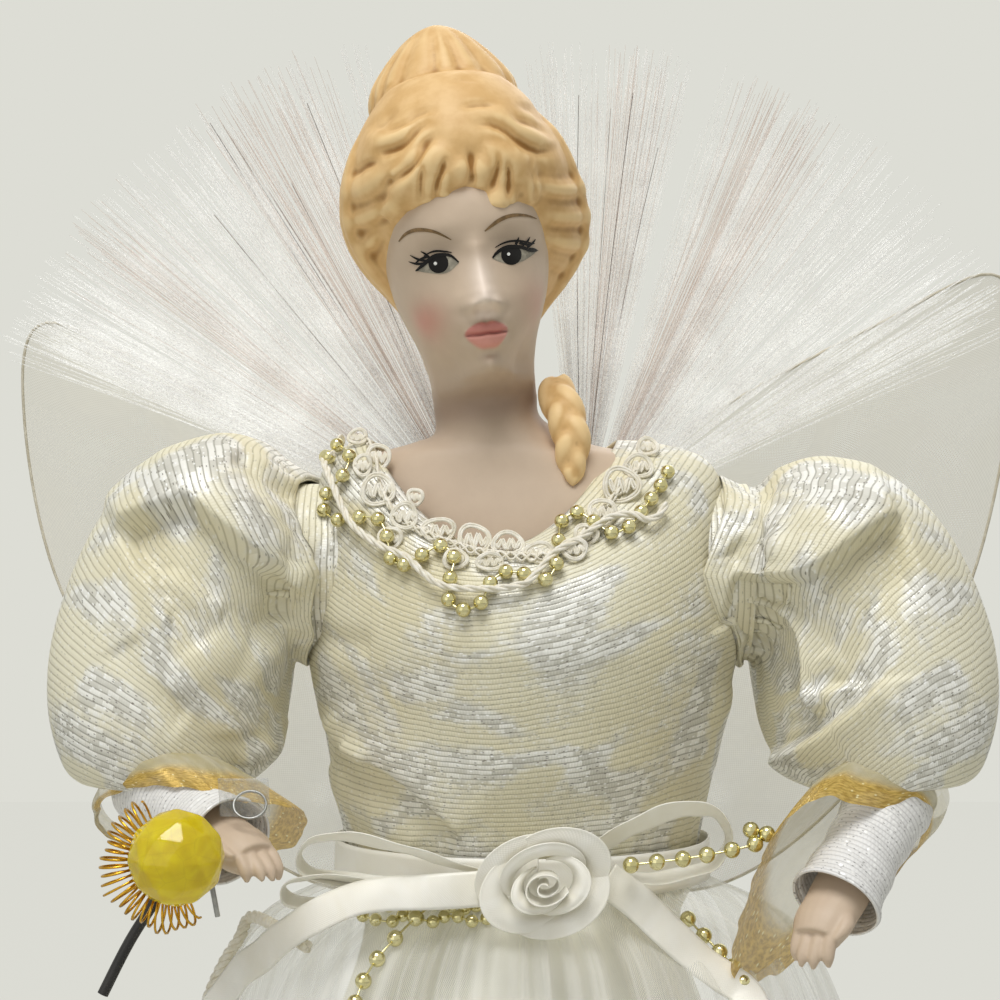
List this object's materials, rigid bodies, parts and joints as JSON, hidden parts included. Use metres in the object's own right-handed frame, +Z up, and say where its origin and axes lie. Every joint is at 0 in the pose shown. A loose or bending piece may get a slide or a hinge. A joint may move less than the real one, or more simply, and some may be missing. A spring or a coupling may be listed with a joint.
{
  "type": "angel tree topper",
  "caption": "Doll-shaped tree topper: porcelain head and hands, brocade gown with puff sleeves, fibre-optic wings, on a hollow light cone.",
  "frame": {"origin": "centre of the surface that the cone's rim stands on", "axes": "+Z up, the doll's face towards -Y, +X to the viewer's right"},
  "size_m": [0.2146, 0.2146, 0.3718],
  "materials": {
    "porcelain": "unglazed bisque, painted",
    "brocade": "ivory brocade with silver thread",
    "satin": "cream satin",
    "organza": "sheer organza",
    "gold_organza": "organza with gold thread",
    "silver_cloth": "silver lame",
    "lace": "matt cotton thread",
    "gold_bead": "gold plated plastic",
    "gold_wire": "bright",
    "yellow_crystal": "clear yellow, faceted",
    "clear_plastic": "clear",
    "fibre": "clear optical fibre",
    "steel_wire": "drawn wire",
    "stuffed_cloth": "firmly stuffed",
    "white_plastic": "moulded",
    "black_plastic": "moulded",
    "aluminium": "plain",
    "brass": "plain",
    "lamp_glass": "clear"
  },
  "bodies": {
    "doll": {"base_cone": "white_plastic", "light_housing": "black_plastic", "reflector": "aluminium", "wheel_motor": "aluminium", "motor_bracket": "aluminium", "fibre_ferrule": "brass", "fibre_trunk": "fibre", "satin_underskirt": "satin", "organza_overskirt": "organza", "gold_hem": "gold_organza", "torso_form": "stuffed_cloth", "bodice": "brocade", "porcelain_head": "porcelain", "lace_collar": "lace", "collar_cord": "lace", "bead_collar": "gold_bead", "waist_ribbon": "satin", "bow_left_upper_loop": "satin", "bow_left_lower_loop": "satin", "bow_right_loop": "satin", "bow_knot": "satin", "bow_left_tail": "satin", "bow_right_tail": "satin", "satin_rosette": "satin", "bead_belt": "gold_bead", "left_bead_swag": "gold_bead", "right_bead_swag": "gold_bead", "bead_spray": "gold_bead", "twisted_cord": "lace", "left_shoulder_pin": "aluminium", "right_shoulder_pin": "aluminium", "left_fibre_fan": "fibre", "right_fibre_fan": "fibre", "wing_clamp": "white_plastic", "left_wing_panel": "organza", "right_wing_panel": "organza", "left_wing_wire": "steel_wire", "right_wing_wire": "steel_wire"},
    "left_arm": {"left_sleeve": "brocade", "left_frill": "gold_organza", "left_cuff": "silver_cloth", "left_hand": "porcelain", "left_arm_wire": "steel_wire", "flower_bead": "yellow_crystal", "flower_spring": "gold_wire", "flower_stem": "black_plastic", "tie_wire": "steel_wire", "clear_tag": "clear_plastic"},
    "right_arm": {"right_sleeve": "brocade", "right_frill": "gold_organza", "right_cuff": "silver_cloth", "right_hand": "porcelain", "right_arm_wire": "steel_wire"},
    "colour_wheel": {"colour_wheel": "clear_plastic", "wheel_shaft": "aluminium"},
    "lamp_holder": {"lamp_holder": "black_plastic", "lamp": "lamp_glass"}
  },
  "joints": [
    {"name": "left_arm_swing", "type": "hinge", "parent": "doll", "child": "left_arm", "pos_m": [-0.0396, 0, 0.268], "axis": [-1, 0, 0], "range_deg": [0, 35]},
    {"name": "right_arm_swing", "type": "hinge", "parent": "doll", "child": "right_arm", "pos_m": [0.0396, 0, 0.268], "axis": [-1, 0, 0], "range_deg": [0, 35]},
    {"name": "colour_wheel_spin", "type": "hinge", "parent": "doll", "child": "colour_wheel", "pos_m": [0, 0.0115, 0.1639], "axis": [0, 0, 1], "continuous": true},
    {"name": "lamp_holder_pull", "type": "slide", "parent": "doll", "child": "lamp_holder", "axis": [0, 0, -1], "range_m": [0, 0.028]}
  ]
}
